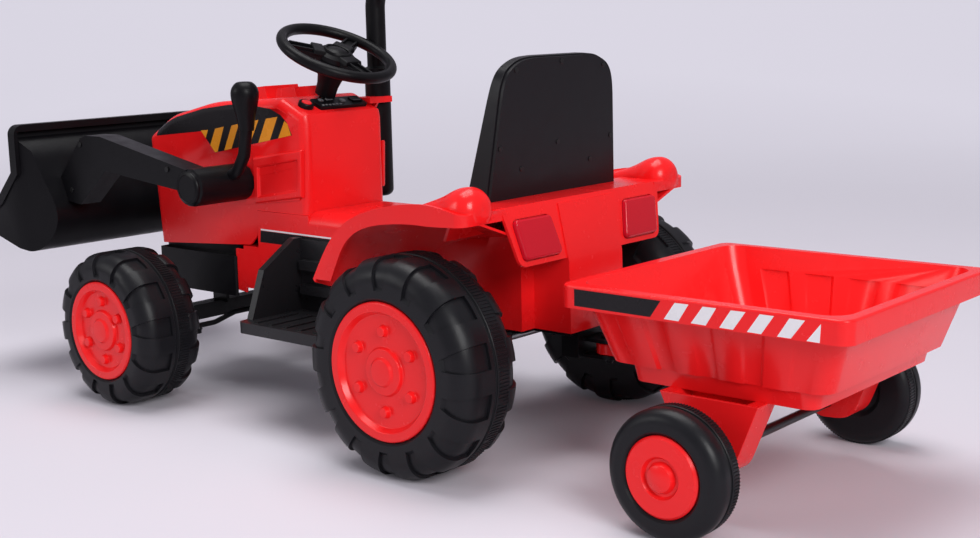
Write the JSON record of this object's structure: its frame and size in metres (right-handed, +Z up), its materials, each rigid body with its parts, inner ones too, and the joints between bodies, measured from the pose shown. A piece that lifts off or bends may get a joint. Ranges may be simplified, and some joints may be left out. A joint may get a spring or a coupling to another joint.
{
  "type": "ride-on tractor toy",
  "caption": "Child's ride-on tractor with lugged plastic wheels, raised seat, dash steering, lever-lifted front bucket and a hitched tub trailer.",
  "frame": {"origin": "on the ground under the middle of the whole rig, bucket tip to trailer rim", "axes": "+X backwards (the tractor looks towards -X), +Y to the tractor's right, +Z up"},
  "size_m": [1.534, 0.568, 0.6177],
  "materials": {
    "red_plastic": "glossy",
    "black_plastic": "satin",
    "tyre_plastic": "matte",
    "steel": "satin",
    "clear_red": "glossy",
    "clear_lens": "glossy",
    "yellow_plastic": "glossy"
  },
  "bodies": {
    "tractor": {"body_shell": "red_plastic", "hood": "red_plastic", "exhaust_bracket": "red_plastic", "underbody_pan": "black_plastic", "front_axle_housing": "black_plastic", "front_grille": "black_plastic", "left_step": "black_plastic", "right_step": "black_plastic", "seat_base": "black_plastic", "backrest_front_shell": "black_plastic", "backrest_rear_cover": "black_plastic", "exhaust_stack": "black_plastic", "switch_panel": "black_plastic", "gearbox_left": "black_plastic", "gearbox_right": "black_plastic", "battery": "black_plastic", "speaker": "black_plastic", "rear_axle": "steel", "axle_nuts": "steel", "front_axle_beam": "steel", "hitch_pin": "steel", "backrest_screws": "steel", "drive_motors": "steel", "tail_lamp_lenses": "clear_red", "headlamp_lenses": "clear_lens"},
    "steering": {"steering_wheel": "black_plastic", "steering_shaft": "steel"},
    "horn": {"horn_button": "black_plastic"},
    "tie_rod": {"tie_rod": "steel"},
    "left_knuckle": {"knuckle_left": "steel"},
    "right_knuckle": {"knuckle_right": "steel"},
    "front_wheel_left": {"front_tyre_left": "tyre_plastic", "front_hubcap_left": "red_plastic"},
    "front_wheel_right": {"front_tyre_right": "tyre_plastic", "front_hubcap_right": "red_plastic"},
    "rear_wheel_left": {"rear_tyre_left": "tyre_plastic", "rear_hubcap_left": "red_plastic"},
    "rear_wheel_right": {"rear_tyre_right": "tyre_plastic", "rear_hubcap_right": "red_plastic"},
    "loader": {"loader_shaft": "steel", "loader_arm_left": "black_plastic", "loader_arm_right": "black_plastic", "lever_rod": "steel", "lever_grip": "black_plastic", "bucket": "black_plastic", "bucket_bolts": "steel"},
    "trailer": {"tub": "red_plastic", "trailer_bracket_left": "red_plastic", "trailer_bracket_right": "red_plastic", "trailer_axle": "steel", "drawbar": "red_plastic"},
    "trailer_wheel_left": {"trailer_tyre_left": "tyre_plastic", "trailer_hubcap_left": "red_plastic"},
    "trailer_wheel_right": {"trailer_tyre_right": "tyre_plastic", "trailer_hubcap_right": "red_plastic"},
    "pedal": {"accelerator_pedal": "black_plastic"},
    "start": {"start_button": "red_plastic"},
    "rocker": {"direction_rocker": "black_plastic"},
    "music": {"music_button": "yellow_plastic"}
  },
  "joints": [
    {"name": "steering_turn", "type": "hinge", "parent": "tractor", "child": "steering", "pos_m": [-0.1529, 0, 0.5158], "axis": [0.4305, 0, 0.9026], "range_deg": [-30, 30]},
    {"name": "left_knuckle_turn", "type": "hinge", "parent": "tractor", "child": "left_knuckle", "pos_m": [-0.395, -0.15, 0.1155], "axis": [0, 0, 1], "range_deg": [-24.5, 24.5]},
    {"name": "right_knuckle_turn", "type": "hinge", "parent": "tractor", "child": "right_knuckle", "pos_m": [-0.395, 0.15, 0.1155], "axis": [0, 0, 1], "range_deg": [-24.5, 24.5]},
    {"name": "tie_rod_slide", "type": "slide", "parent": "tractor", "child": "tie_rod", "axis": [0, 1, 0], "range_m": [-0.0268, 0.0268]},
    {"name": "front_left_spin", "type": "hinge", "parent": "left_knuckle", "child": "front_wheel_left", "pos_m": [-0.395, -0.222, 0.1155], "axis": [0, 1, 0], "continuous": true},
    {"name": "front_right_spin", "type": "hinge", "parent": "right_knuckle", "child": "front_wheel_right", "pos_m": [-0.395, 0.222, 0.1155], "axis": [0, 1, 0], "continuous": true},
    {"name": "rear_left_spin", "type": "hinge", "parent": "tractor", "child": "rear_wheel_left", "pos_m": [0.197, -0.227, 0.14], "axis": [0, 1, 0], "continuous": true},
    {"name": "rear_right_spin", "type": "hinge", "parent": "tractor", "child": "rear_wheel_right", "pos_m": [0.197, 0.227, 0.14], "axis": [0, 1, 0], "continuous": true},
    {"name": "loader_lift", "type": "hinge", "parent": "tractor", "child": "loader", "pos_m": [-0.281, 0, 0.327], "axis": [0, 1, 0], "range_deg": [-14, 30]},
    {"name": "trailer_swing", "type": "hinge", "parent": "tractor", "child": "trailer", "pos_m": [0.337, 0, 0.137], "axis": [0, 0, 1], "range_deg": [-20, 20]},
    {"name": "trailer_left_spin", "type": "hinge", "parent": "trailer", "child": "trailer_wheel_left", "pos_m": [0.5843, -0.227, 0.0745], "axis": [0, 1, 0], "continuous": true},
    {"name": "trailer_right_spin", "type": "hinge", "parent": "trailer", "child": "trailer_wheel_right", "pos_m": [0.5843, 0.227, 0.0745], "axis": [0, 1, 0], "continuous": true},
    {"name": "pedal_press", "type": "hinge", "parent": "tractor", "child": "pedal", "pos_m": [-0.025, 0.149, 0.159], "axis": [0, -1, 0], "range_deg": [0, 12], "stiffness_Nm_per_rad": 1.2, "springref_deg": -17.19},
    {"name": "horn_press", "type": "slide", "parent": "steering", "child": "horn", "axis": [-0.4305, 0, -0.9026], "range_m": [0, 0.002], "stiffness_N_per_m": 400, "springref_m": -0.001},
    {"name": "start_press", "type": "slide", "parent": "tractor", "child": "start", "axis": [-0.4036, 0, -0.9149], "range_m": [0, 0.002], "stiffness_N_per_m": 400, "springref_m": -0.001},
    {"name": "music_press", "type": "slide", "parent": "tractor", "child": "music", "axis": [-0.4036, 0, -0.9149], "range_m": [0, 0.0015], "stiffness_N_per_m": 400, "springref_m": -0.001},
    {"name": "rocker_tilt", "type": "hinge", "parent": "tractor", "child": "rocker", "pos_m": [-0.16351, 0.042, 0.44293], "axis": [0, 1, 0], "range_deg": [-10, 10]}
  ],
  "couplings": [
    {"joint": "left_knuckle_turn", "follows": "steering_turn", "ratio": 0.8},
    {"joint": "right_knuckle_turn", "follows": "steering_turn", "ratio": 0.8},
    {"joint": "tie_rod_slide", "follows": "steering_turn", "m_per_rad": 0.0505}
  ]
}
